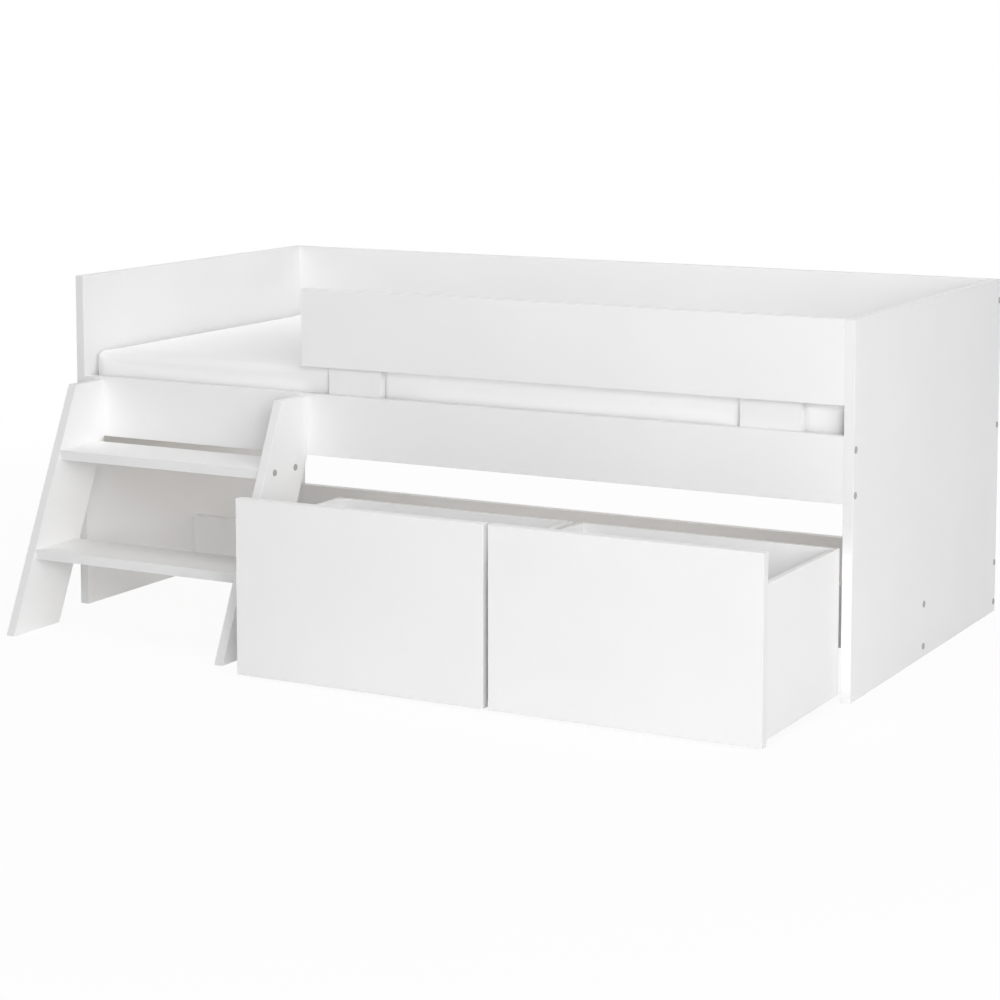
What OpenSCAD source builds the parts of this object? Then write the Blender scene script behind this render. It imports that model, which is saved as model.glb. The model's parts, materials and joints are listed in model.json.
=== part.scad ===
// Low sleeper bed: board frame with guard and step ladder, slatted base, mattress and two rolling drawers.
// Millimetres. +Z is up, the head end is at -X and the open front is at -Y. The drawers stand pulled out.
// The origin is on the floor under the middle of the whole object.

/* [Frame] */
// Thickness of every frame, guard and ladder board
board_t = 22; // [18:1:26]
// Height of the front side rail
side_rail_h = 140; // [125:1:170]
// Underside of the front side rail above the floor
side_rail_z = 412; // [400:1:430]
// Upper back panel's lower edge below the side rail's underside
back_panel_drop = 14; // [0:1:30]
// Height of the lower back rail and of the centre floor rail
low_rail_h = 142; // [110:1:170]
// Front face of the bed to the front face of the centre floor rail
centre_rail_back = 439; // [425:1:520]

/* [Guard] */
// Height of the guard rail
guard_h = 176; // [140:1:200]
// Open slot between the side rail and the guard rail
slot_h = 62; // [45:1:75]
// Open way in between the head panel and the guard's free end
way_in_l = 612; // [560:1:680]
// Width of each upright that joins the guard to the side rail
upright_w = 137; // [110:1:160]
// Guard's free end to the first upright
upright_inset = 58; // [30:1:90]
// Second upright to the foot panel
upright_foot_inset = 101; // [80:1:140]
// Uprights stop this far below the guard's top edge
upright_drop = 16; // [8:1:30]

/* [Slatted base] */
// Number of slats
slat_count = 14; // [10:1:16]
// Width of a slat
slat_w = 68; // [50:1:75]
// Thickness of a slat
slat_t = 18; // [14:1:22]
// End panel to the first slat
slat_end_gap = 24; // [15:1:40]
// Height of the battens that carry the slats
batten_h = 30; // [26:1:40]
// Depth of the battens that carry the slats
batten_t = 22; // [18:1:30]
// Width of the two tapes that space the slats
tape_w = 25; // [15:1:40]
// Thickness of the tapes
tape_t = 1; // [0.6:0.1:1.5]
// Middle of each tape from its batten
tape_inset = 190; // [120:5:260]

/* [Mattress] */
// Length of the mattress, which sets the length of the bed
mattress_l = 1902; // [1750:1:2150]
// Width of the mattress, which sets the width of the bed
mattress_w = 902; // [820:1:1150]
// Thickness of the mattress at its edge
mattress_t = 148; // [100:1:160]
// Rise of its crown in the middle
mattress_crown = 9; // [2:1:14]
// Radius of its upper edges
mattress_edge_r = 24; // [12:1:40]
// Draw-in of its long sides between the corners
mattress_draw = 3; // [0:0.5:6]
// Space between the mattress and each end panel
mattress_end_gap = 5; // [1:1:15]
// Space between the mattress and the side rail
mattress_front_gap = 5; // [1:1:10]
// Space between the mattress and the back panel
mattress_rear_gap = 13; // [1:1:20]

/* [Ladder] */
// Width over both stringers
ladder_w = 592; // [480:1:640]
// Outer face of the head panel to the ladder
ladder_inset = 56; // [40:1:80]
// Reach of the stringers' feet in front of the side rail
ladder_reach = 348; // [320:1:360]
// Lean of the stringers from the vertical, in degrees
ladder_lean = 24; // [22:0.5:25]
// Width of a stringer, square to its edges
stringer_w = 150; // [130:1:165]
// Top of the stringers below the side rail's top edge
stringer_drop = 5; // [2:1:15]
// Depth of a tread
tread_d = 150; // [125:1:150]
// Top of the lower tread above the floor
tread_low_z = 186; // [160:1:220]
// Top of the upper tread above the floor
tread_high_z = 402; // [370:1:410]

/* [Drawers] */
// Depth of a drawer that stays behind the bed's front face while it stands pulled out
drawer_in = 2; // [0:1:60]
// Ladder to the first drawer front
ladder_drawer_gap = 79; // [40:1:140]
// Height of a drawer front
front_h = 380; // [360:1:384]
// Drawer front above the floor
front_z = 5; // [3:1:8]
// Gap between the two drawer fronts
drawer_gap = 12; // [6:1:16]
// Gap between the second drawer front and the foot panel
drawer_foot_gap = 3; // [2:0.5:6]
// Depth of a drawer, front board included
drawer_d = 410; // [395:1:415]
// Height of the drawer box sides
box_h = 306; // [260:1:330]
// Underside of the drawer box sides above the floor
box_z = 15; // [10:1:20]
// Thickness of the drawer box sides and back
box_t = 12; // [12:1:15]
// Drawer front past the box on each side
front_lip = 3; // [1:0.5:5]
// Thickness of the drawer bottom board
bottom_t = 10; // [8:1:12]
// Depth of the grooves that hold the drawer bottom
groove_d = 5; // [3:1:6]

/* [Castors] */
// Radius of a castor wheel
wheel_r = 18; // [15:1:19]
// Width of a castor wheel
wheel_w = 14; // [10:1:18]
// Radius of the castor axles
axle_r = 2.5; // [2:0.25:3]
// Length of a castor housing
housing_l = 46; // [42:1:52]
// Thickness of a housing's top plate
plate_t = 3; // [2:0.5:4]
// Thickness of a housing's side cheeks
cheek_t = 2.5; // [2:0.5:3]
// Room between the wheel and the top plate
wheel_room = 6; // [4:0.5:8]
// Inner face of the drawer box to the middle of a castor
castor_inset = 32; // [28:1:60]

/* [Fastenings] */
// Radius of the cover caps on the screws
cap_r = 7.5; // [6.5:0.5:9]
// Thickness of the cover caps
cap_t = 1.2; // [0.8:0.1:2]
// Radius of a frame screw's head
head_r = 5; // [4.5:0.5:6]
// Height of a frame screw's head
head_t = 3; // [2:0.5:4]
// Radius of a frame screw's thread
screw_r = 3.5; // [2.5:0.5:4]
// Length of a frame screw
screw_l = 50; // [40:1:60]
// Lower screw above the underside of the side rail
side_screw_low = 18; // [15:1:30]
// Upper screw below the top edge of the side rail
side_screw_high = 28; // [15:1:40]
// Screws from the upper and lower edges of the low rails
low_screw_inset = 24; // [15:1:35]
// Screws from the upper and lower edges of the back panel
back_screw_inset = 49; // [35:1:60]
// Radius of the wooden dowels
dowel_r = 4; // [3:0.5:5]
// Length of the wooden dowels
dowel_l = 30; // [24:1:36]
// Radius of the cam discs in the guard
cam_r = 7.5; // [6:0.5:8]
// Radius of the cam discs in the drawers
small_cam_r = 6; // [5:0.5:6.5]
// Radius of the cam bolts
cam_bolt_r = 2.5; // [2:0.25:3]
// Joint face to the middle of a cam disc
cam_reach = 24; // [20:1:30]
// Radius of a wood screw's shank
wood_screw_r = 2; // [1.5:0.25:2.5]
// Radius of a wood screw's flat head
wood_head_r = 4; // [3.5:0.25:5]

/* [Hidden] */
$fn = 48;

white = "white";
fitting_grey = "gainsboro";
steel = "silver";
pine = "wheat";
fit = 0.05;        // radial play of what is screwed, pressed or glued in
running_fit = 0.08; // radial play of a wheel on its axle
hole_end = 1;      // a blind hole goes this far past what it holds
eps = 0.01;        // a cut runs this far past the face it opens

// Overall sizes of the bed
side_rail_top = side_rail_z + side_rail_h;
guard_z = side_rail_top + slot_h;
bed_h = guard_z + guard_h;
bed_l = mattress_l + 2 * (mattress_end_gap + board_t);
bed_w = mattress_w + mattress_front_gap + mattress_rear_gap + 2 * board_t;
back_panel_z = side_rail_z - back_panel_drop;
back_panel_h = bed_h - back_panel_z;

// Frame planes
drawer_out = drawer_d - drawer_in;
reach = max(drawer_out, ladder_reach);
front_y = (reach - bed_w) / 2;
rear_y = front_y + bed_w;
in_front_y = front_y + board_t;
in_rear_y = rear_y - board_t;
out_x = bed_l / 2;
in_x = out_x - board_t;
centre_rail_y = front_y + centre_rail_back;
guard_x = -in_x + way_in_l;

// Slatted base
slat_z = side_rail_z + batten_h;
slat_top = slat_z + slat_t;
slat_play = 2;
slat_pitch = (2 * in_x - 2 * slat_end_gap - slat_w) / (slat_count - 1);
slat_x = [for (i = [0 : slat_count - 1]) -in_x + slat_end_gap + slat_w / 2 + i * slat_pitch];
tape_y = [in_front_y + batten_t + tape_inset, in_rear_y - batten_t - tape_inset];

// Uprights stand just above the slats
upright_z = slat_top + slat_play;
upright_h = bed_h - upright_drop - upright_z;
upright_x = [guard_x + upright_inset, in_x - upright_foot_inset - upright_w];

// Ladder
ladder_x = -out_x + ladder_inset;
lean_run = tan(ladder_lean);
foot_y = front_y - ladder_reach;
foot_d = stringer_w / cos(ladder_lean);
stringer_top = side_rail_top - stringer_drop;
stringer_joint_z = (ladder_reach - foot_d) / lean_run;
stringer_x = [ladder_x, ladder_x + ladder_w - board_t];
tread_l = ladder_w - 2 * board_t;
tread_screw_inset = 33;
ladder_screw_inset = 23;
ladder_screw_pitch = 60;
function tread_front(z) = foot_y + z * lean_run;

// Drawers share the room between the ladder and the foot panel; drawer_x is the left corner of each front
bay_x0 = ladder_x + ladder_w + ladder_drawer_gap;
bay_x1 = in_x - drawer_foot_gap;
front_w = (bay_x1 - bay_x0 - drawer_gap) / 2;
drawer_x = [bay_x0, bay_x1 - front_w];
drawer_front_y = front_y - drawer_out;
box_front_y = drawer_front_y + board_t;
box_rear_y = drawer_front_y + drawer_d;
box_w = front_w - 2 * front_lip;
wheel_play = 0.5;  // between the wheel and each cheek
housing_w = wheel_w + 2 * (wheel_play + cheek_t);
bottom_z = 2 * wheel_r + wheel_room + plate_t;
castor_y = [box_front_y + housing_l, box_rear_y - box_t - housing_l];

// Screw and dowel places on the outer faces of the end panels, as [y, z]
mid_front = front_y + board_t / 2;
mid_rear = rear_y - board_t / 2;
mid_centre = centre_rail_y + board_t / 2;
side_screw_z = [side_rail_z + side_screw_low, side_rail_top - side_screw_high];
low_screw_z = [low_screw_inset, low_rail_h - low_screw_inset];
side_screws = [for (z = side_screw_z) [mid_front, z]];
centre_screws = [for (z = low_screw_z) [mid_centre, z]];
low_back_screws = [for (z = low_screw_z) [mid_rear, z]];
back_screws = [for (z = [back_panel_z + back_screw_inset, bed_h - back_screw_inset]) [mid_rear, z]];
frame_joints = concat(side_screws, centre_screws, low_back_screws, back_screws);
side_dowel_z = (side_screw_z[0] + side_screw_z[1]) / 2;
dowel_places = [[mid_front, side_dowel_z], [mid_centre, low_rail_h / 2], [mid_rear, low_rail_h / 2],
    [mid_rear, back_panel_z + back_panel_h / 2]];
guard_cam_z = [guard_z + guard_h * 0.25, guard_z + guard_h * 0.75];
drawer_cam_z = [box_z + box_h * 0.3, box_z + box_h * 0.8];

module rod_x(r, l, at) translate(at) rotate([0, 90, 0]) cylinder(r = r, h = l);
module rod_y(r, l, at) translate(at) rotate([-90, 0, 0]) cylinder(r = r, h = l);
module both_ends() {
    children();
    mirror([1, 0, 0]) children();
}

// A screw with its head at the origin, running along +X
module frame_screw() {
    difference() {
        union() {
            rod_x(head_r, head_t, [0, 0, 0]);
            rod_x(screw_r, screw_l, [0, 0, 0]);
        }
        rod_x(socket_r, socket_t, [-eps, 0, 0]);
    }
}
socket_r = 2;
socket_t = 2.4;

// The hole that takes that screw
module screw_hole() {
    rod_x(head_r + fit, head_t + fit + eps, [-eps, 0, 0]);
    rod_x(screw_r + fit, screw_l + hole_end, [0, 0, 0]);
}

// A press-in cap over that screw: a disc with a turned-down rim and a stem in the screw's socket
module screw_cap() {
    rotate([0, 90, 0]) rotate_extrude()
        polygon([[0, -cap_t], [cap_r - cap_t / 2, -cap_t], [cap_r, -cap_t / 2], [cap_r, 0],
            [socket_r - fit, 0], [socket_r - fit, socket_t - 2 * fit], [0, socket_t - 2 * fit]]);
}

// Flat-headed wood screw along +X with its head flush at the origin, and the hole for it
module wood_screw(l) {
    rotate([0, 90, 0]) rotate_extrude()
        polygon([[0, 0], [wood_head_r, 0], [wood_screw_r, wood_head_r - wood_screw_r],
            [wood_screw_r, l], [0, l]]);
}
module wood_screw_hole(l) {
    rotate([0, 90, 0]) rotate_extrude()
        polygon([[0, -eps], [wood_head_r + fit, -eps], [wood_head_r + fit, fit],
            [wood_screw_r + fit, wood_head_r - wood_screw_r + fit],
            [wood_screw_r + fit, l + hole_end], [0, l + hole_end]]);
}

// What is drilled for the frame's screws and dowels, at both ends
module frame_drilling() {
    both_ends() {
        for (p = frame_joints) translate([-out_x, p.x, p.y]) screw_hole();
        for (p = dowel_places)
            rod_x(dowel_r + fit, dowel_l + 2 * hole_end, [-in_x - dowel_l / 2 - hole_end, p.x, p.y]);
    }
}

// End panels
module end_panel() {
    difference() {
        translate([-out_x, front_y, 0]) cube([board_t, bed_w, bed_h]);
        frame_drilling();
    }
}
module head_end_panel() color(white) end_panel();
module foot_end_panel() color(white) difference() {
    mirror([1, 0, 0]) end_panel();
    guard_drilling();
}

// Boards between the end panels
module rail_board(y, z, h) translate([-in_x, y, z]) cube([2 * in_x, board_t, h]);
module upper_back_panel() color(white) difference() {
    rail_board(in_rear_y, back_panel_z, back_panel_h);
    frame_drilling();
    batten_screw_holes();
}
module lower_back_rail() color(white) difference() {
    rail_board(in_rear_y, 0, low_rail_h);
    frame_drilling();
}
module centre_floor_rail() color(white) difference() {
    rail_board(centre_rail_y, 0, low_rail_h);
    frame_drilling();
}
module side_rail() color(white) difference() {
    rail_board(front_y, side_rail_z, side_rail_h);
    frame_drilling();
    batten_screw_holes();
    upright_screw_holes();
    ladder_screw_holes();
}

// Guard, held by two uprights and by cam bolts in the foot panel
module guard_rail() color(white) difference() {
    translate([guard_x, front_y, guard_z]) cube([in_x - guard_x, board_t, guard_h]);
    guard_drilling();
    upright_screw_holes();
}
cam_t = 13;
cam_bolt_in = 11;
cam_slot_w = 1.2;
cam_slot_t = 1;
module guard_drilling() {
    for (z = guard_cam_z) {
        rod_y(cam_r + fit, cam_t + fit, [in_x - cam_reach, in_front_y - cam_t, z]);
        rod_x(cam_bolt_r + fit, cam_reach + cam_bolt_in + hole_end, [in_x - cam_reach, mid_front, z]);
    }
}
module guard_cams() color(steel) for (z = guard_cam_z) difference() {
    rod_y(cam_r, cam_t - fit, [in_x - cam_reach, in_front_y - cam_t + fit, z]);
    rod_x(cam_bolt_r + fit, cam_r + hole_end, [in_x - cam_reach, mid_front, z]);
    translate([in_x - cam_reach, in_front_y, z]) cube([cam_r, 2 * cam_slot_t, cam_slot_w], center = true);
}
module guard_cam_bolts() color(steel) for (z = guard_cam_z)
    rod_x(cam_bolt_r, cam_reach + cam_bolt_in - hole_end, [in_x - cam_reach + hole_end, mid_front, z]);

// Uprights behind the guard and the side rail, with screws in two columns
upright_screw_l = 36;
rail_screw_drop = 28;
guard_screw_low = 30;
guard_screw_drop = 46;
upright_screw_z = [side_rail_top - rail_screw_drop, guard_z + guard_screw_low,
    guard_z + guard_h - guard_screw_drop];
module at_upright_screws() for (x = upright_x, dx = [upright_w * 0.25, upright_w * 0.75],
    z = upright_screw_z) translate([x + dx, in_front_y + board_t, z]) rotate([0, 0, -90]) children();
module upright_screw_holes() at_upright_screws() wood_screw_hole(upright_screw_l);
module upright_screws() color(steel) at_upright_screws() wood_screw(upright_screw_l);
module upright(x) color(white) difference() {
    translate([x, in_front_y, upright_z]) cube([upright_w, board_t, upright_h]);
    upright_screw_holes();
}
module guard_upright_left() upright(upright_x[0]);
module guard_upright_right() upright(upright_x[1]);

// Battens on the side rail and back panel, slats across them, and two tapes that space the slats
batten_screw_l = 36;
batten_screw_count = 6;
batten_screw_inset = 100;
batten_end_gap = 2;
batten_screw_pitch = 2 * (in_x - batten_screw_inset) / (batten_screw_count - 1);
module at_batten_screws() for (i = [0 : batten_screw_count - 1]) {
    x = (i - (batten_screw_count - 1) / 2) * batten_screw_pitch;
    z = side_rail_z + batten_h / 2;
    translate([x, in_front_y + batten_t, z]) rotate([0, 0, -90]) children();
    translate([x, in_rear_y - batten_t, z]) rotate([0, 0, 90]) children();
}
module batten_screw_holes() at_batten_screws() wood_screw_hole(batten_screw_l);
module batten_screws() color(steel) at_batten_screws() wood_screw(batten_screw_l);
module batten(y) color(pine) difference() {
    translate([-in_x + batten_end_gap, y, side_rail_z])
        cube([2 * (in_x - batten_end_gap), batten_t, batten_h]);
    batten_screw_holes();
    slat_screw_holes();
}
module front_slat_batten() batten(in_front_y);
module rear_slat_batten() batten(in_rear_y - batten_t);

slat_screw_l = 30;
module at_slat_screws() for (x = slat_x, y = [in_front_y + batten_t / 2, in_rear_y - batten_t / 2])
    translate([x, y, slat_top]) rotate([0, 90, 0]) children();
module slat_screw_holes() at_slat_screws() wood_screw_hole(slat_screw_l);
module slat_screws() color(steel) at_slat_screws() wood_screw(slat_screw_l);
module bed_slats() color(pine) difference() {
    for (x = slat_x) translate([x - slat_w / 2, in_front_y + slat_play, slat_z])
        cube([slat_w, in_rear_y - in_front_y - 2 * slat_play, slat_t]);
    slat_screw_holes();
}
module slat_tapes() color("whitesmoke") for (y = tape_y)
    translate([slat_x[0] - slat_w / 2, y - tape_w / 2, slat_top])
        cube([slat_x[slat_count - 1] - slat_x[0] + slat_w, tape_w, tape_t]);

// Mattress: a loft of rounded sections along X, with a crowned top, sides drawn in between the
// corners, and a shallow pocket where each upright presses into its front side
soft_gap = 0.5;
seat_gap = 0.3;
mattress_z = slat_top + tape_t + seat_gap;
mattress_y0 = in_front_y + mattress_front_gap;
mattress_y1 = mattress_y0 + mattress_w;
base_r = 10;
corner_r = 12;
pocket_y = in_front_y + board_t + soft_gap;
pocket_play = 3;
pocket_blend = 26;
round_steps = [0, 25, 50, 90];
function mix(a, b, t) = a + (b - a) * t;
function spread(a, b, n) = [for (i = [1 : n]) mix(a, b, i / (n + 1))];
pocket_edges = [for (x = upright_x) each [x - pocket_play - pocket_blend, x - pocket_play,
    x + upright_w + pocket_play, x + upright_w + pocket_play + pocket_blend]];
body_x0 = -mattress_l / 2 + mattress_edge_r;
stations = concat([for (a = round_steps) [body_x0 - mattress_edge_r * cos(a), 1 - sin(a)]],
    [for (x = concat(spread(body_x0, pocket_edges[0], 5), [for (i = [0 : 3]) pocket_edges[i]],
        spread(pocket_edges[3], pocket_edges[4], 6), [for (i = [4 : 7]) pocket_edges[i]])) [x, 0]],
    [for (i = [3 : -1 : 0]) [-body_x0 + mattress_edge_r * cos(round_steps[i]), 1 - sin(round_steps[i])]]);
function pocket(x) = max([for (u = upright_x) max(0, min(1,
    (x - u + pocket_play + pocket_blend) / pocket_blend,
    (u + upright_w + pocket_play + pocket_blend - x) / pocket_blend))]);
crown_power_x = 6;
crown_power_y = 2.5;
function crown(x, t) = mattress_crown * (1 - pow(abs(2 * t - 1), crown_power_y))
    * (1 - pow(abs(2 * x / mattress_l), crown_power_x));
function side_draw(x) = mattress_draw * (1 - pow(2 * x / mattress_l, 2));
function section(x, s) = let (
    y0 = max(mattress_y0 + side_draw(x), mix(mattress_y0, pocket_y, pocket(x))) + corner_r * s,
    y1 = mattress_y1 - side_draw(x) - corner_r * s,
    z0 = mattress_z + base_r * s,
    z1 = mattress_z + mattress_t - mattress_edge_r * s,
    er = mattress_edge_r,
    br = base_r)
    concat(
        [for (a = [90, 30, 0]) [x, y0 + br - br * cos(a), z0 + br - br * sin(a)]],
        [[x, y0, mix(z0 + br, z1 - er, 0.5)]],
        [for (a = [0, 30, 60]) [x, y0 + er - er * cos(a), z1 - er + er * sin(a)]],
        [for (t = [0, 0.14, 0.32, 0.5, 0.68, 0.86, 1])
            [x, mix(y0 + er, y1 - er, t), z1 + crown(x, t) * (1 - s)]],
        [for (a = [60, 30, 0]) [x, y1 - er + er * cos(a), z1 - er + er * sin(a)]],
        [[x, y1, mix(z0 + br, z1 - er, 0.5)]],
        [for (a = [0, 30, 90]) [x, y1 - br + br * cos(a), z0 + br - br * sin(a)]]);
ring_n = len(section(0, 0));
module mattress() color(white) polyhedron(
    points = [for (p = stations) each section(p.x, p.y)],
    faces = concat(
        [for (i = [0 : len(stations) - 2], k = [0 : ring_n - 1])
            let (a = i * ring_n, n = (k + 1) % ring_n)
            each [[a + k, a + n, a + ring_n + k], [a + n, a + ring_n + n, a + ring_n + k]]],
        [for (k = [1 : ring_n - 2]) [0, k + 1, k]],
        [for (k = [1 : ring_n - 2]) let (a = (len(stations) - 1) * ring_n) [a, a + k, a + k + 1]]));

// Ladder: two leaning stringers cut upright against the side rail, and two treads between them
ladder_screw_z = [for (k = [1, 0]) side_rail_top - ladder_screw_inset - k * ladder_screw_pitch];
module at_ladder_screws() for (x = stringer_x, z = ladder_screw_z)
    translate([x + board_t / 2, in_front_y, z]) rotate([0, 0, -90]) children();
module ladder_screw_holes() at_ladder_screws() screw_hole();
module ladder_screws() color(steel) at_ladder_screws() frame_screw();
module stringer(x) color(white) difference() {
    translate([x, 0, 0]) rotate([90, 0, 90]) linear_extrude(board_t) polygon([
        [foot_y, 0], [foot_y + foot_d, 0], [front_y, stringer_joint_z],
        [front_y, stringer_top], [tread_front(stringer_top), stringer_top]]);
    ladder_screw_holes();
    tread_screw_holes();
}
module ladder_stringer_left() stringer(stringer_x[0]);
module ladder_stringer_right() stringer(stringer_x[1]);

module at_tread_screws() for (z = [tread_low_z, tread_high_z],
    dy = [tread_screw_inset, tread_d - tread_screw_inset]) {
    y = tread_front(z) + dy;
    translate([ladder_x, y, z - board_t / 2]) children();
    translate([ladder_x + ladder_w, y, z - board_t / 2]) mirror([1, 0, 0]) children();
}
module tread_screw_holes() at_tread_screws() screw_hole();
module tread_screws() color(steel) at_tread_screws() frame_screw();
module tread_screw_caps() color(fitting_grey) at_tread_screws() screw_cap();
module tread(z) color(white) difference() {
    translate([ladder_x + board_t, tread_front(z), z - board_t]) cube([tread_l, tread_d, board_t]);
    tread_screw_holes();
}
module ladder_tread_lower() tread(tread_low_z);
module ladder_tread_upper() tread(tread_high_z);

// Fastenings of the frame
module at_frame_joints() both_ends() for (p = frame_joints) translate([-out_x, p.x, p.y]) children();
module frame_screws() color(steel) at_frame_joints() frame_screw();
module frame_screw_caps() color(fitting_grey) at_frame_joints() screw_cap();
module frame_dowels() color(pine) both_ends() for (p = dowel_places)
    rod_x(dowel_r, dowel_l, [-in_x - dowel_l / 2, p.x, p.y]);

// Drawers. A drawer's own pieces are drawn with its left front corner at x0. Its fittings are drawn
// at each height and side, with X running from the side's outer face towards the middle
small_cam_t = 9;
side_bolt_in = 6;
front_cam_y = box_front_y + cam_reach;
back_cam_x = box_t + cam_reach;
back_mid_y = box_rear_y - box_t / 2;
module at_drawer_cams(x0) for (z = drawer_cam_z, side = [0, 1])
    translate([x0 + front_lip + side * box_w, 0, z]) mirror([side, 0, 0]) children();
module drawer_drilling(x0) at_drawer_cams(x0) {
    // Sides to front
    rod_x(small_cam_r + fit, small_cam_t + eps, [box_t - small_cam_t, front_cam_y, 0]);
    rod_y(cam_bolt_r + fit, cam_reach + cam_bolt_in + hole_end,
        [box_t / 2, box_front_y - cam_bolt_in - hole_end, 0]);
    // Back to sides
    rod_y(small_cam_r + fit, small_cam_t + eps, [back_cam_x, box_rear_y - small_cam_t, 0]);
    rod_x(cam_bolt_r + fit, cam_reach + side_bolt_in + hole_end,
        [box_t - side_bolt_in - hole_end, back_mid_y, 0]);
}
module drawer_cams(x0) color(steel) at_drawer_cams(x0) {
    difference() {
        rod_x(small_cam_r, small_cam_t - fit, [box_t - small_cam_t + fit, front_cam_y, 0]);
        rod_y(cam_bolt_r + fit, small_cam_r + eps, [box_t / 2, front_cam_y - small_cam_r - eps, 0]);
        translate([box_t, front_cam_y, 0]) cube([2 * cam_slot_t, small_cam_r, cam_slot_w], center = true);
    }
    difference() {
        rod_y(small_cam_r, small_cam_t - fit, [back_cam_x, box_rear_y - small_cam_t + fit, 0]);
        rod_x(cam_bolt_r + fit, small_cam_r + eps, [back_cam_x - small_cam_r - eps, back_mid_y, 0]);
        translate([back_cam_x, box_rear_y, 0])
            cube([small_cam_r, 2 * cam_slot_t, cam_slot_w], center = true);
    }
}
module drawer_cam_bolts(x0) color(steel) at_drawer_cams(x0) {
    rod_y(cam_bolt_r, cam_reach + cam_bolt_in - fit, [box_t / 2, box_front_y - cam_bolt_in, 0]);
    rod_x(cam_bolt_r, cam_reach + side_bolt_in - fit, [box_t - side_bolt_in, back_mid_y, 0]);
}

// The bottom board and the grooves that hold it on four sides
module bottom_board(x0, play) translate([x0 + front_lip + box_t - groove_d - play,
    box_front_y - groove_d - play, bottom_z - play])
    cube([box_w - 2 * box_t + 2 * (groove_d + play),
        box_rear_y - box_t - box_front_y + 2 * (groove_d + play), bottom_t + 2 * play]);
module drawer_bottom(x0) color(white) difference() {
    bottom_board(x0, 0);
    at_castors(x0) at_castor_screws() wood_screw_hole(castor_screw_l);
}
module drawer_front(x0) color(white) difference() {
    translate([x0, drawer_front_y, front_z]) cube([front_w, board_t, front_h]);
    drawer_drilling(x0);
    bottom_board(x0, fit);
}
module drawer_side(x0, side) color(white) difference() {
    translate([x0 + front_lip + side * (box_w - box_t), box_front_y, box_z])
        cube([box_t, box_rear_y - box_front_y, box_h]);
    drawer_drilling(x0);
    bottom_board(x0, fit);
}
module drawer_back(x0) color(white) difference() {
    translate([x0 + front_lip + box_t, box_rear_y - box_t, box_z])
        cube([box_w - 2 * box_t, box_t, box_h]);
    drawer_drilling(x0);
    bottom_board(x0, fit);
}

// Fixed castors under the bottom board, each drawn about its own axle
castor_screw_l = 9;
plate_edge = 2;
cheek_r = axle_r + 5;
function castor_x(x0, k) = k == 0 ? x0 + front_lip + box_t + castor_inset
    : x0 + front_lip + box_w - box_t - castor_inset;
module at_castors(x0) for (k = [0, 1], y = castor_y) translate([castor_x(x0, k), y, wheel_r]) children();
castor_screw_y = housing_l / 2 - plate_edge - wood_head_r;
castor_screw_z = wheel_r + wheel_room;
module at_castor_screws() for (y = [-1, 1]) translate([0, y * castor_screw_y, castor_screw_z])
    rotate([0, -90, 0]) children();
module castor_housing() difference() {
    union() {
        translate([-housing_w / 2, -housing_l / 2, castor_screw_z]) cube([housing_w, housing_l, plate_t]);
        for (side = [-1, 1]) translate([side * (housing_w - cheek_t) / 2, 0, 0]) rotate([90, 0, 90])
            linear_extrude(cheek_t, center = true) union() {
                circle(r = cheek_r);
                translate([-cheek_r, 0]) square([2 * cheek_r, castor_screw_z + plate_t / 2]);
            }
    }
    rod_x(axle_r + fit, housing_w + 2 * eps, [-housing_w / 2 - eps, 0, 0]);
    at_castor_screws() wood_screw_hole(castor_screw_l);
}
module castor_housings(x0) color(fitting_grey) at_castors(x0) castor_housing();
module castor_axles(x0) color(steel) at_castors(x0) rod_x(axle_r, housing_w, [-housing_w / 2, 0, 0]);
module castor_screws(x0) color(steel) at_castors(x0) at_castor_screws() wood_screw(castor_screw_l);

// A moulded wheel with a chamfered tread, a thinner web and a hub
hub_wall = 3;
rim_wall = 4;
web_recess = 2;
tread_chamfer = 2.4;
module castor_wheel(x0, k, j) color("dimgray") translate([castor_x(x0, k), castor_y[j], wheel_r])
    rotate([0, 90, 0]) rotate_extrude() {
        bore = axle_r + running_fit;
        h = wheel_w / 2;
        difference() {
            translate([bore, -h]) square([wheel_r - bore, wheel_w]);
            for (s = [-1, 1]) {
                translate([bore + hub_wall, s * h - web_recess])
                    square([wheel_r - bore - hub_wall - rim_wall, 2 * web_recess]);
                translate([wheel_r, s * h]) rotate(45) square(tread_chamfer, center = true);
            }
        }
    }

module left_drawer_front() drawer_front(drawer_x[0]);
module left_drawer_side_left() drawer_side(drawer_x[0], 0);
module left_drawer_side_right() drawer_side(drawer_x[0], 1);
module left_drawer_back() drawer_back(drawer_x[0]);
module left_drawer_bottom() drawer_bottom(drawer_x[0]);
module left_drawer_cams() drawer_cams(drawer_x[0]);
module left_drawer_cam_bolts() drawer_cam_bolts(drawer_x[0]);
module left_castor_housings() castor_housings(drawer_x[0]);
module left_castor_axles() castor_axles(drawer_x[0]);
module left_castor_screws() castor_screws(drawer_x[0]);
module left_wheel_front_left() castor_wheel(drawer_x[0], 0, 0);
module left_wheel_front_right() castor_wheel(drawer_x[0], 1, 0);
module left_wheel_rear_left() castor_wheel(drawer_x[0], 0, 1);
module left_wheel_rear_right() castor_wheel(drawer_x[0], 1, 1);

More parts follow.
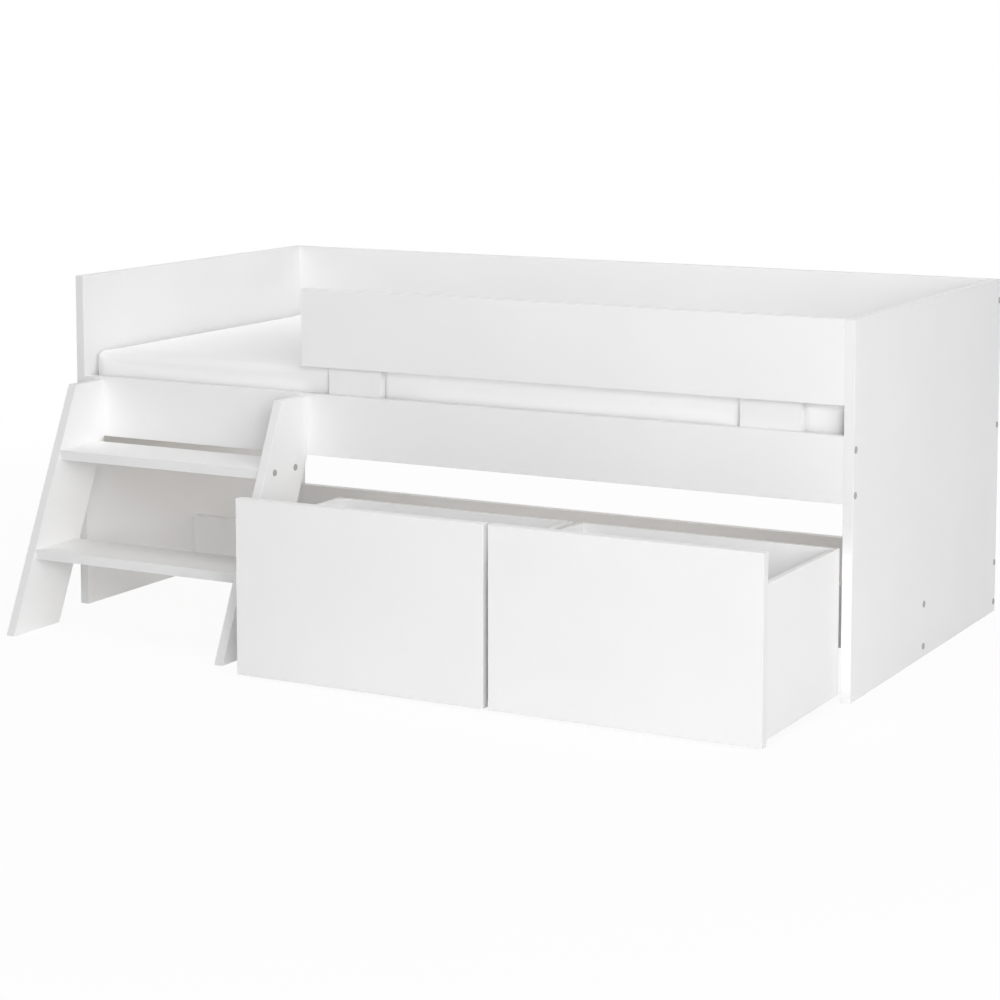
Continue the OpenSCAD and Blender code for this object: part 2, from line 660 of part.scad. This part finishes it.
module right_drawer_front() drawer_front(drawer_x[1]);
module right_drawer_side_left() drawer_side(drawer_x[1], 0);
module right_drawer_side_right() drawer_side(drawer_x[1], 1);
module right_drawer_back() drawer_back(drawer_x[1]);
module right_drawer_bottom() drawer_bottom(drawer_x[1]);
module right_drawer_cams() drawer_cams(drawer_x[1]);
module right_drawer_cam_bolts() drawer_cam_bolts(drawer_x[1]);
module right_castor_housings() castor_housings(drawer_x[1]);
module right_castor_axles() castor_axles(drawer_x[1]);
module right_castor_screws() castor_screws(drawer_x[1]);
module right_wheel_front_left() castor_wheel(drawer_x[1], 0, 0);
module right_wheel_front_right() castor_wheel(drawer_x[1], 1, 0);
module right_wheel_rear_left() castor_wheel(drawer_x[1], 0, 1);
module right_wheel_rear_right() castor_wheel(drawer_x[1], 1, 1);

head_end_panel();
foot_end_panel();
upper_back_panel();
lower_back_rail();
centre_floor_rail();
side_rail();
guard_rail();
guard_upright_left();
guard_upright_right();
front_slat_batten();
rear_slat_batten();
bed_slats();
slat_tapes();
mattress();
ladder_stringer_left();
ladder_stringer_right();
ladder_tread_lower();
ladder_tread_upper();
frame_screws();
frame_screw_caps();
frame_dowels();
guard_cams();
guard_cam_bolts();
upright_screws();
batten_screws();
slat_screws();
tread_screws();
tread_screw_caps();
ladder_screws();
left_drawer_front();
left_drawer_side_left();
left_drawer_side_right();
left_drawer_back();
left_drawer_bottom();
left_drawer_cams();
left_drawer_cam_bolts();
left_castor_housings();
left_castor_axles();
left_castor_screws();
left_wheel_front_left();
left_wheel_front_right();
left_wheel_rear_left();
left_wheel_rear_right();
right_drawer_front();
right_drawer_side_left();
right_drawer_side_right();
right_drawer_back();
right_drawer_bottom();
right_drawer_cams();
right_drawer_cam_bolts();
right_castor_housings();
right_castor_axles();
right_castor_screws();
right_wheel_front_left();
right_wheel_front_right();
right_wheel_rear_left();
right_wheel_rear_right();
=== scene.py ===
import json
import math

import bmesh
import bpy
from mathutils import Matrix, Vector


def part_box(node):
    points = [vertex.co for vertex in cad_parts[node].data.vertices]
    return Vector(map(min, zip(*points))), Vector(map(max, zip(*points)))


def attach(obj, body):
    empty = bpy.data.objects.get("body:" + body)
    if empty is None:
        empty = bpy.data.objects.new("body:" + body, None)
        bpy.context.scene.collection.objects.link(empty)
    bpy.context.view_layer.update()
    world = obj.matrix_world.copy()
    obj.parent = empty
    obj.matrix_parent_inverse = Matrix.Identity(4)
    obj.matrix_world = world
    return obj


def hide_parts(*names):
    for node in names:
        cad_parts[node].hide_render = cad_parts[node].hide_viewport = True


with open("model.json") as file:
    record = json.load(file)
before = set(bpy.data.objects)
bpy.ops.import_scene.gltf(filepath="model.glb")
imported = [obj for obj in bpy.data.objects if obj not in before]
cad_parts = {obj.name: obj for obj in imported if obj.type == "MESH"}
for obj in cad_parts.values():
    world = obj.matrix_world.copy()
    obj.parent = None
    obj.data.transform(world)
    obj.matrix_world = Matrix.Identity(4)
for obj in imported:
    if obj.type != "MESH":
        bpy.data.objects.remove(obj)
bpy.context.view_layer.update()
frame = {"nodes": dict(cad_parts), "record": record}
cadNodes = frame["nodes"]
scene = bpy.context.scene
print("frame loaded with", len(cadNodes), "nodes")


# The photograph's viewpoint, pitched a little so that other views keep the whole bed in the picture
camera = {
    "place": (2.7831, -5.1379, 1.3768),
    "lookDown": 6.072,  # degrees below level
    "turn": 28.311,     # degrees to the left of straight in
    "lens": 92.5,
    "sensor": 36,
    "shiftY": -0.2,
    "farthest": 100,    # metres
}


def makeCamera():
    data = bpy.data.cameras.new("photoCamera")
    data.sensor_width = camera["sensor"]
    data.lens = camera["lens"]
    data.shift_y = camera["shiftY"]
    data.clip_end = camera["farthest"]
    obj = bpy.data.objects.new("photoCamera", data)
    obj.location = camera["place"]
    obj.rotation_euler = (math.radians(90 - camera["lookDown"]), 0, math.radians(camera["turn"]))
    scene.collection.objects.link(obj)
    scene.camera = obj


makeCamera()
print("camera placed")


# Small helpers for the shader trees
def newMaterial(name, roughness, metallic=0.0):
    mat = bpy.data.materials.new(name)
    mat.use_nodes = True
    shader = mat.node_tree.nodes["Principled BSDF"]
    shader.inputs["Roughness"].default_value = roughness
    shader.inputs["Metallic"].default_value = metallic
    return mat, mat.node_tree, shader


def objectPlace(tree, stretch=(1, 1, 1)):
    coords = tree.nodes.new("ShaderNodeTexCoord")
    mapping = tree.nodes.new("ShaderNodeMapping")
    mapping.inputs["Scale"].default_value = stretch
    tree.links.new(coords.outputs["Object"], mapping.inputs["Vector"])
    return mapping.outputs["Vector"]


def noiseFac(tree, scale, detail=2.0, stretch=(1, 1, 1)):
    tex = tree.nodes.new("ShaderNodeTexNoise")
    tex.inputs["Scale"].default_value = scale
    tex.inputs["Detail"].default_value = detail
    tree.links.new(objectPlace(tree, stretch), tex.inputs["Vector"])
    return tex.outputs["Fac"]


def ramp(tree, fac, stops):
    node = tree.nodes.new("ShaderNodeValToRGB")
    points = node.color_ramp.elements
    while len(points) < len(stops):
        points.new(0.5)
    for point, (place, colour) in zip(points, stops):
        point.position = place
        point.color = (*colour, 1)
    tree.links.new(fac, node.inputs["Fac"])
    return node.outputs["Color"]


def grey(value):
    return (value, value, value)


def waveScale(pitch):
    return 0.314 / pitch    # at a scale of 1 a wave texture repeats every 0.314 m


def spread(tree, fac, low, high):
    node = tree.nodes.new("ShaderNodeMapRange")
    node.inputs["To Min"].default_value = low
    node.inputs["To Max"].default_value = high
    tree.links.new(fac, node.inputs["Value"])
    return node.outputs["Result"]


def bumpUp(tree, shader, height, strength, distance):
    node = tree.nodes.new("ShaderNodeBump")
    node.inputs["Strength"].default_value = strength
    node.inputs["Distance"].default_value = distance
    tree.links.new(height, node.inputs["Height"])
    chained = shader.inputs["Normal"].links
    if chained:
        tree.links.new(chained[0].from_socket, node.inputs["Normal"])
    tree.links.new(node.outputs["Normal"], shader.inputs["Normal"])


# White foil on board: a fine emboss, slow tone and gloss changes, and banded edges that are duller, with
# painted shade making them a little darker. Each bump here and below is a strength and a height in metres.
foil = {
    "white": 0.90,
    "mottle": 0.012,
    "mottleScale": 3.0,
    "bandingWithPaintedShade": 0.87,
    "roughness": (0.40, 0.48),
    "glossScale": 11.0,
    "emboss": 0.0009,
    "embossBump": (0.05, 0.0001),
    "rippleScale": 45.0,
    "rippleBump": (0.02, 0.0004),
    "sheen": 0.5,
    "bandingSheen": 0.15,
}


def foilMaterial(name, white, sheen):
    mottle = foil["mottle"]
    mat, tree, shader = newMaterial(name, sum(foil["roughness"]) / 2)
    shader.inputs["Specular IOR Level"].default_value = sheen
    tone = noiseFac(tree, foil["mottleScale"], detail=3.0)
    colour = ramp(tree, tone, [(0.3, grey(white - mottle)), (0.7, grey(white + mottle))])
    tree.links.new(colour, shader.inputs["Base Color"])
    gloss = spread(tree, noiseFac(tree, foil["glossScale"]), *foil["roughness"])
    tree.links.new(gloss, shader.inputs["Roughness"])
    bumpUp(tree, shader, noiseFac(tree, 1 / foil["emboss"], detail=1.0), *foil["embossBump"])
    bumpUp(tree, shader, noiseFac(tree, foil["rippleScale"], detail=1.0), *foil["rippleBump"])
    return mat


foilBoard = foilMaterial("whiteFoil", foil["white"], foil["sheen"])
# Banded edges: a duller sheen, and a white set a little darker as painted shade
bandingWithPaintedShade = foilMaterial("bandedEdgeWithPaintedShade", foil["bandingWithPaintedShade"], foil["bandingSheen"])


# Planed pine with long streaks, ring bands and a few darker knots
pine = {
    "light": (0.80, 0.69, 0.54),
    "dark": (0.62, 0.48, 0.33),
    "knot": (0.22, 0.10, 0.04),
    "roughness": 0.62,
    "ringPitch": 0.011142,
    "ringBend": 5.0,
    "streakScale": 160.0,
    "streakShare": 0.45,
    "streakBump": (0.15, 0.0003),
    "knotScale": 7.0,
    "knotEdge": (0.06, 0.10),
    "drawnOut": {"ring": 0.06, "streak": 0.03, "knot": 0.55},   # scale along the grain; less is longer
}


def pineMaterial(name, alongY):
    mat, tree, shader = newMaterial(name, pine["roughness"])
    stretch = {form: (1, along, 1) if alongY else (along, 1, 1) for form, along in pine["drawnOut"].items()}
    rings = tree.nodes.new("ShaderNodeTexWave")
    rings.wave_type = "RINGS"
    rings.rings_direction = "Y" if alongY else "X"
    rings.inputs["Scale"].default_value = waveScale(pine["ringPitch"])
    rings.inputs["Distortion"].default_value = pine["ringBend"]
    rings.inputs["Detail"].default_value = 3.0
    rings.inputs["Detail Scale"].default_value = 0.7
    tree.links.new(objectPlace(tree, stretch["ring"]), rings.inputs["Vector"])
    streak = noiseFac(tree, pine["streakScale"], detail=4.0, stretch=stretch["streak"])
    both = tree.nodes.new("ShaderNodeMix")
    both.inputs["Factor"].default_value = pine["streakShare"]
    tree.links.new(rings.outputs["Fac"], both.inputs["A"])
    tree.links.new(streak, both.inputs["B"])
    wood = ramp(tree, both.outputs["Result"], [(0.25, pine["light"]), (0.8, pine["dark"])])
    spots = tree.nodes.new("ShaderNodeTexVoronoi")
    spots.inputs["Scale"].default_value = pine["knotScale"]
    tree.links.new(objectPlace(tree, stretch["knot"]), spots.inputs["Vector"])
    inside, outside = pine["knotEdge"]
    knots = ramp(tree, spots.outputs["Distance"], [(inside, grey(1)), (outside, grey(0))])
    paint = tree.nodes.new("ShaderNodeMix")
    paint.data_type = "RGBA"
    tree.links.new(knots, paint.inputs["Factor"])
    tree.links.new(wood, paint.inputs["A"])
    paint.inputs["B"].default_value = (*pine["knot"], 1)
    tree.links.new(paint.outputs["Result"], shader.inputs["Base Color"])
    bumpUp(tree, shader, streak, *pine["streakBump"])
    return mat


slatPine = pineMaterial("slatPine", True)
battenPine = pineMaterial("battenPine", False)


# Smooth knitted cover: crossing ribs finer than two millimetres, soft sheen, and slow tone changes
cover = {
    "white": 0.95,
    "mottle": (-0.012, 0.006),
    "mottleScale": 6.0,
    "roughness": 0.86,
    "sheen": 0.2,
    "sheenRoughness": 0.4,
    "shine": 0.25,
    "ribPitch": 0.0012,
    "ribBend": 0.6,
    "ribBump": (0.06, 0.0002),
    "puckerScale": 70.0,
    "puckerBump": (0.10, 0.0006),
}


def coverMaterial():
    mat, tree, shader = newMaterial("coverKnit", cover["roughness"])
    shader.inputs["Sheen Weight"].default_value = cover["sheen"]
    shader.inputs["Sheen Roughness"].default_value = cover["sheenRoughness"]
    shader.inputs["Specular IOR Level"].default_value = cover["shine"]
    tone = noiseFac(tree, cover["mottleScale"], detail=3.0)
    darker, lighter = (grey(cover["white"] + change) for change in cover["mottle"])
    tree.links.new(ramp(tree, tone, [(0.3, darker), (0.7, lighter)]), shader.inputs["Base Color"])
    for direction in ("X", "Y", "Z"):
        rib = tree.nodes.new("ShaderNodeTexWave")
        rib.bands_direction = direction
        rib.inputs["Scale"].default_value = waveScale(cover["ribPitch"])
        rib.inputs["Distortion"].default_value = cover["ribBend"]
        tree.links.new(objectPlace(tree), rib.inputs["Vector"])
        bumpUp(tree, shader, rib.outputs["Fac"], *cover["ribBump"])
    bumpUp(tree, shader, noiseFac(tree, cover["puckerScale"], detail=3.0), *cover["puckerBump"])
    return mat


coverKnit = coverMaterial()


# The woven tapes that space the slats
tape = {"light": (0.80, 0.79, 0.76), "dark": (0.66, 0.65, 0.62), "roughness": 0.9,
        "weaveScale": 900, "weaveBump": (0.5, 0.0003)}


def tapeMaterial():
    mat, tree, shader = newMaterial("wovenTape", tape["roughness"])
    weave = tree.nodes.new("ShaderNodeTexChecker")
    weave.inputs["Scale"].default_value = tape["weaveScale"]
    weave.inputs["Color1"].default_value = (*tape["light"], 1)
    weave.inputs["Color2"].default_value = (*tape["dark"], 1)
    tree.links.new(objectPlace(tree), weave.inputs["Vector"])
    tree.links.new(weave.outputs["Color"], shader.inputs["Base Color"])
    bumpUp(tree, shader, weave.outputs["Fac"], *tape["weaveBump"])
    return mat


# Zinc-plated screws, cams and axles
steel = {"bluish": (0.56, 0.57, 0.60), "warm": (0.70, 0.70, 0.69), "toneScale": 220.0,
         "roughness": (0.26, 0.42), "glossScale": 500.0}


def steelMaterial():
    mat, tree, shader = newMaterial("zincSteel", sum(steel["roughness"]) / 2, metallic=1.0)
    tone = noiseFac(tree, steel["toneScale"], detail=3.0)
    colour = ramp(tree, tone, [(0.3, steel["bluish"]), (0.7, steel["warm"])])
    tree.links.new(colour, shader.inputs["Base Color"])
    gloss = spread(tree, noiseFac(tree, steel["glossScale"]), *steel["roughness"])
    tree.links.new(gloss, shader.inputs["Roughness"])
    return mat


# Moulded plastics: screw caps, castor housings and wheels
plastics = {
    "greyCap": {"grey": 0.40, "roughness": 0.42, "grain": 1500.0},
    "paleCastor": {"grey": 0.62, "roughness": 0.45, "grain": 1200.0},
    "darkTread": {"grey": 0.035, "roughness": 0.55, "grain": 900.0},
    "darkShare": 0.94,
    "mottleScale": 35.0,
    "grainBump": (0.15, 0.0002),
}


def plasticMaterial(name):
    look = plastics[name]
    mat, tree, shader = newMaterial(name, look["roughness"])
    dark, light = grey(look["grey"] * plastics["darkShare"]), grey(look["grey"])
    tone = ramp(tree, noiseFac(tree, plastics["mottleScale"]), [(0.3, dark), (0.7, light)])
    tree.links.new(tone, shader.inputs["Base Color"])
    bumpUp(tree, shader, noiseFac(tree, look["grain"]), *plastics["grainBump"])
    return mat


capPlastic = plasticMaterial("greyCap")
castorPlastic = plasticMaterial("paleCastor")
wheelPlastic = plasticMaterial("darkTread")
wovenTape = tapeMaterial()
zincSteel = steelMaterial()
print("materials made")


# Every carried-over CAD node takes the finish of its slot
finishes = {
    "white_board": foilBoard,
    "mattress_fabric": coverKnit,
    "tape_fabric": wovenTape,
    "pine": slatPine,
    "cap_plastic": capPlastic,
    "castor_plastic": castorPlastic,
    "wheel_plastic": wheelPlastic,
    "zinc_steel": zincSteel,
}
slotOf = {part["node"]: part["material_slot"] for part in frame["record"]["subparts"]}
bodyOf = {node: body for body, members in frame["record"]["behaviour"]["bodies"].items()
          for node in members}
for name, obj in cadNodes.items():
    obj.data.materials.clear()
    obj.data.materials.append(finishes[slotOf[name]])


# Boards get their rounded, banded edges, painted a little darker as shade: each is its CAD solid with every
# outline edge rounded off
boards = {
    "flat": 0.00002,        # points closer than this to a side of the box lie on it
    "foil": {"round": 0.0008, "steps": 3, "finish": [foilBoard, bandingWithPaintedShade]},
    "slat": {"round": 0.0030, "steps": 3, "finish": [slatPine, slatPine]},
    "batten": {"round": 0.0015, "steps": 2, "finish": [battenPine, battenPine]},
    "cornerAngle": 35,      # degrees; flatter edges than this are part of a round hole
    "shortestEdge": 0.015,
    "weld": 0.000001,
    "flatAngle": 0.5,       # degrees; faces that meet flatter than this become one
}
drawerBoards = [side + "_drawer_" + part for side in ("left", "right")
                for part in ("front", "side_left", "side_right", "back")]
foilBoards = ["head_end_panel", "foot_end_panel", "upper_back_panel", "lower_back_rail", "centre_floor_rail",
              "side_rail", "guard_rail", "guard_upright_left", "guard_upright_right",
              "ladder_tread_lower", "ladder_tread_upper", *drawerBoards]


def pieceFrom(name, mesh, body, replaced, slot):
    obj = bpy.data.objects.new(name, mesh)
    scene.collection.objects.link(obj)
    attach(obj, body)
    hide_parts(replaced)


def cleanCopy(node):
    bm = bmesh.new()
    bm.from_mesh(cadNodes[node].data)
    bmesh.ops.remove_doubles(bm, verts=bm.verts, dist=boards["weld"])
    bmesh.ops.dissolve_limit(bm, angle_limit=math.radians(boards["flatAngle"]),
                             verts=bm.verts, edges=bm.edges)
    return bm


def islands(bm):
    left = set(bm.verts)
    while left:
        found, queue = set(), [left.pop()]
        while queue:
            vert = queue.pop()
            found.add(vert)
            for edge in vert.link_edges:
                other = edge.other_vert(vert)
                if other in left:
                    left.discard(other)
                    queue.append(other)
        yield found


def sidesTouched(co, low, high):
    return {(axis, end) for axis in range(3) for end, side in enumerate((low, high))
            if abs(co[axis] - side[axis]) < boards["flat"]}


# A boxlike board lies along its box; a stringer is cut at a slant, so its edges are found in another way
def outlineEdges(bm, boxLike):
    chosen = []
    corner = math.radians(boards["cornerAngle"])
    for island in islands(bm):
        low = [min(v.co[k] for v in island) for k in range(3)]
        high = [max(v.co[k] for v in island) for k in range(3)]
        for edge in {e for v in island for e in v.link_edges}:
            a, b = (v.co for v in edge.verts)
            shared = sidesTouched(a, low, high) & sidesTouched(b, low, high)
            sharp = len(edge.link_faces) == 2 and edge.calc_face_angle() > corner
            if boxLike:
                if sharp and len(shared) >= 2:
                    chosen.append(edge)
            elif sharp and edge.calc_length() > boards["shortestEdge"]:
                onBroadSide = any(axis == 0 for axis, end in shared)
                if onBroadSide or abs(a.y - b.y) + abs(a.z - b.z) < boards["flat"]:
                    chosen.append(edge)
    return chosen


# Material 1, the banded edge finish darkened with painted shade, goes to the faces that don't look out of
# the board's thin direction
def markNarrowFaces(bm):
    for island in islands(bm):
        spans = [max(v.co[k] for v in island) - min(v.co[k] for v in island) for k in range(3)]
        across = spans.index(min(spans))
        for face in {f for v in island for f in v.link_faces}:
            face.material_index = 0 if abs(face.normal[across]) > 0.5 else 1


def roundedBoard(node, kind, boxLike=True):
    look = boards[kind]
    bm = cleanCopy(node)
    markNarrowFaces(bm)
    # The rounds take material 1 too, the banded edge finish with its painted shade
    bmesh.ops.bevel(bm, geom=outlineEdges(bm, boxLike), offset=look["round"], segments=look["steps"],
                    profile=0.5, affect="EDGES", clamp_overlap=False, material=1)
    mesh = bpy.data.meshes.new(node + "Board")
    bm.to_mesh(mesh)
    bm.free()
    for finish in look["finish"]:
        mesh.materials.append(finish)
    pieceFrom(node + "Board", mesh, bodyOf[node], node, slotOf[node])


for node in foilBoards:
    roundedBoard(node, "foil")
for node in ("ladder_stringer_left", "ladder_stringer_right"):
    roundedBoard(node, "foil", boxLike=False)
roundedBoard("bed_slats", "slat")
for node in ("front_slat_batten", "rear_slat_batten"):
    roundedBoard(node, "batten")
print("boards rounded")


# The mattress: a block with pockets for the uprights and a crowned top, remeshed and blown up as cloth
mattressLook = {
    "inset": 0.003,         # kept free inside the CAD box, which the swelling then fills
    "edge": 0.1475,         # height of the top edge above the slats
    "crown": 0.0075,
    "crownFall": (6, 3),    # the higher, the nearer the crown keeps its height to the ends and the sides
    "edgeRound": 0.013,
    "edgeSteps": 3,
    "pocketSpace": 0.003,
    "voxel": 0.008,
    "swellCap": 0.0025,
    "pressure": 4.0,
    "frames": 12,
}


def boxObject(name, low, high, edgeRound=0.0, edgeSteps=1):
    bm = bmesh.new()
    bmesh.ops.create_cube(bm, size=1.0)
    for vert in bm.verts:
        vert.co = [low[k] if vert.co[k] < 0 else high[k] for k in range(3)]
    if edgeRound:
        bmesh.ops.bevel(bm, geom=bm.edges[:], offset=edgeRound, segments=edgeSteps,
                        profile=0.5, affect="EDGES")
    mesh = bpy.data.meshes.new(name)
    bm.to_mesh(mesh)
    bm.free()
    obj = bpy.data.objects.new(name, mesh)
    scene.collection.objects.link(obj)
    return obj


def mattressStart():
    low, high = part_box("mattress")
    inset = Vector([mattressLook["inset"]] * 3)
    top = Vector((high.x, high.y, low.z + mattressLook["edge"] + mattressLook["inset"]))
    obj = boxObject("mattressCover", low + inset, top - inset,
                    mattressLook["edgeRound"], mattressLook["edgeSteps"])
    bpy.context.view_layer.objects.active = obj
    space = Vector([mattressLook["pocketSpace"]] * 3)
    for upright in ("guard_upright_left", "guard_upright_right"):
        near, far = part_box(upright)
        cutter = boxObject("pocket", near - space, far + space)
        cut = obj.modifiers.new("cut", "BOOLEAN")
        cut.object = cutter
        cut.operation = "DIFFERENCE"
        bpy.ops.object.modifier_apply(modifier=cut.name)
        bpy.data.objects.remove(cutter)
    remesh = obj.modifiers.new("remesh", "REMESH")
    remesh.mode = "VOXEL"
    remesh.voxel_size = mattressLook["voxel"]
    bpy.ops.object.modifier_apply(modifier=remesh.name)
    middle = (low + high) / 2
    for vert in obj.data.vertices:
        lift = mattressLook["crown"] * max(0, (vert.co.z - low.z) / mattressLook["edge"])
        for k, fall in enumerate(mattressLook["crownFall"]):
            out = abs(2 * (vert.co[k] - middle[k]) / (high[k] - low[k]))
            lift *= 1 - min(1, out) ** fall
        vert.co.z += lift
    return obj


def makeMattress():
    obj = mattressStart()
    start = [v.co.copy() for v in obj.data.vertices]
    cloth = obj.modifiers.new("cloth", "CLOTH")
    cloth.settings.use_pressure = True
    cloth.settings.uniform_pressure_force = mattressLook["pressure"]
    cloth.settings.effector_weights.gravity = 0
    for number in range(1, mattressLook["frames"] + 1):
        scene.frame_set(number)
    settled = obj.evaluated_get(bpy.context.evaluated_depsgraph_get()).data
    moved = [v.co.copy() for v in settled.vertices]
    obj.modifiers.remove(cloth)
    cap = mattressLook["swellCap"]
    for vert, before, after in zip(obj.data.vertices, start, moved):
        step = after - before
        vert.co = before + step * min(1, cap / max(step.length, 1e-9))
    smooth = obj.modifiers.new("finer", "SUBSURF")
    smooth.levels = smooth.render_levels = 1
    bpy.ops.object.modifier_apply(modifier=smooth.name)
    obj.data.polygons.foreach_set("use_smooth", [True] * len(obj.data.polygons))
    obj.data.materials.clear()
    obj.data.materials.append(coverKnit)
    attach(obj, "mattress")
    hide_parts("mattress")


makeMattress()
print("mattress made")


# Pale studio: a floor that shows white with the bed's soft shadow on it, and soft lamps
studio = {
    "floorSize": 40.0,
    "floorGrey": 0.90,
    "glowNear": 0.93,       # share of plain white that the camera sees on the floor by the bed
    "glowReach": (1.5, 3.6),    # metres from the middle over which that share grows to all of it
    "worldGrey": 0.15,
    "aim": (0.0, -0.1, 0.35),
    "lamps": {
        "frontRight": {"place": (5.0, -8.0, 2.6), "size": 4.0, "power": 330},
        "sideRight": {"place": (7.0, -6.0, 2.6), "size": 4.0, "power": 134},
        "nearRight": {"place": (4.5, -2.5, 2.6), "size": 2.0, "power": 47},
        "above": {"place": (0.0, -1.0, 7.0), "size": 4.0, "power": 150},
        "behindAbove": {"place": (-1.5, 2.2, 3.4), "size": 2.5, "power": 32},
        "behindLow": {"place": (0.0, 4.0, 0.9), "size": 2.5, "power": 55},
        # Just under the slats and behind the closed drawers' fronts
        "underBed": {"place": (0.0, 0.2, 0.405), "aim": (0.0, 0.2, 0.0),
                     "size": 1.6, "depth": 0.8, "power": 1.4},
    },
    "hiddenLamps": ("behindAbove", "behindLow", "underBed"),    # not mirrored in the bed
}


# 1 for camera, glossy and transmission rays, so that the floor and the world show white in all of them
def seenDirectly(tree):
    rays = tree.nodes.new("ShaderNodeLightPath")
    seen = rays.outputs["Is Camera Ray"]
    for kind in ("Is Glossy Ray", "Is Transmission Ray"):
        either = tree.nodes.new("ShaderNodeMath")
        either.operation = "MAXIMUM"
        tree.links.new(seen, either.inputs[0])
        tree.links.new(rays.outputs[kind], either.inputs[1])
        seen = either.outputs["Value"]
    return seen


def makeFloor():
    mesh = bpy.data.meshes.new("floor")
    half = studio["floorSize"] / 2
    corners = [(-half, -half, 0), (half, -half, 0), (half, half, 0), (-half, half, 0)]
    mesh.from_pydata(corners, [], [(0, 1, 2, 3)])
    obj = bpy.data.objects.new("floor", mesh)
    scene.collection.objects.link(obj)
    mat = bpy.data.materials.new("paleFloor")
    mat.use_nodes = True
    tree = mat.node_tree
    tree.nodes.clear()
    matte = tree.nodes.new("ShaderNodeBsdfDiffuse")
    matte.inputs["Color"].default_value = (*grey(studio["floorGrey"]), 1)
    glow = tree.nodes.new("ShaderNodeEmission")
    place = tree.nodes.new("ShaderNodeNewGeometry")
    away = tree.nodes.new("ShaderNodeVectorMath")
    away.operation = "LENGTH"
    tree.links.new(place.outputs["Position"], away.inputs[0])
    whiter = tree.nodes.new("ShaderNodeMapRange")
    whiter.interpolation_type = "SMOOTHSTEP"
    near, far = studio["glowReach"]
    whiter.inputs["From Min"].default_value = near
    whiter.inputs["From Max"].default_value = far
    whiter.inputs["To Min"].default_value = studio["glowNear"]
    whiter.inputs["To Max"].default_value = 1.0
    tree.links.new(away.outputs["Value"], whiter.inputs["Value"])
    share = tree.nodes.new("ShaderNodeMath")
    share.operation = "MULTIPLY"
    tree.links.new(seenDirectly(tree), share.inputs[0])
    tree.links.new(whiter.outputs["Result"], share.inputs[1])
    mix = tree.nodes.new("ShaderNodeMixShader")
    out = tree.nodes.new("ShaderNodeOutputMaterial")
    tree.links.new(share.outputs["Value"], mix.inputs["Fac"])
    tree.links.new(matte.outputs["BSDF"], mix.inputs[1])
    tree.links.new(glow.outputs["Emission"], mix.inputs[2])
    tree.links.new(mix.outputs["Shader"], out.inputs["Surface"])
    mesh.materials.append(mat)


def makeWorld():
    world = bpy.data.worlds.new("whiteStudio")
    scene.world = world
    world.use_nodes = True
    tree = world.node_tree
    background = tree.nodes["Background"]
    strength = tree.nodes.new("ShaderNodeMix")
    tree.links.new(seenDirectly(tree), strength.inputs["Factor"])
    strength.inputs["A"].default_value = studio["worldGrey"]
    strength.inputs["B"].default_value = 1.0
    background.inputs["Color"].default_value = (1, 1, 1, 1)
    tree.links.new(strength.outputs["Result"], background.inputs["Strength"])


def makeLamp(name, look):
    data = bpy.data.lights.new(name, "AREA")
    data.shape = "RECTANGLE"
    data.size = look["size"]
    data.size_y = look.get("depth", look["size"])
    data.energy = look["power"]
    obj = bpy.data.objects.new(name, data)
    obj.location = look["place"]
    obj.visible_glossy = name not in studio["hiddenLamps"]
    obj.visible_camera = False
    aim = Vector(look.get("aim", studio["aim"])) - obj.location
    obj.rotation_euler = aim.to_track_quat("-Z", "Y").to_euler()
    scene.collection.objects.link(obj)


makeFloor()
makeWorld()
for name, look in studio["lamps"].items():
    makeLamp(name, look)
scene.view_settings.view_transform = "Standard"
print("studio lit")
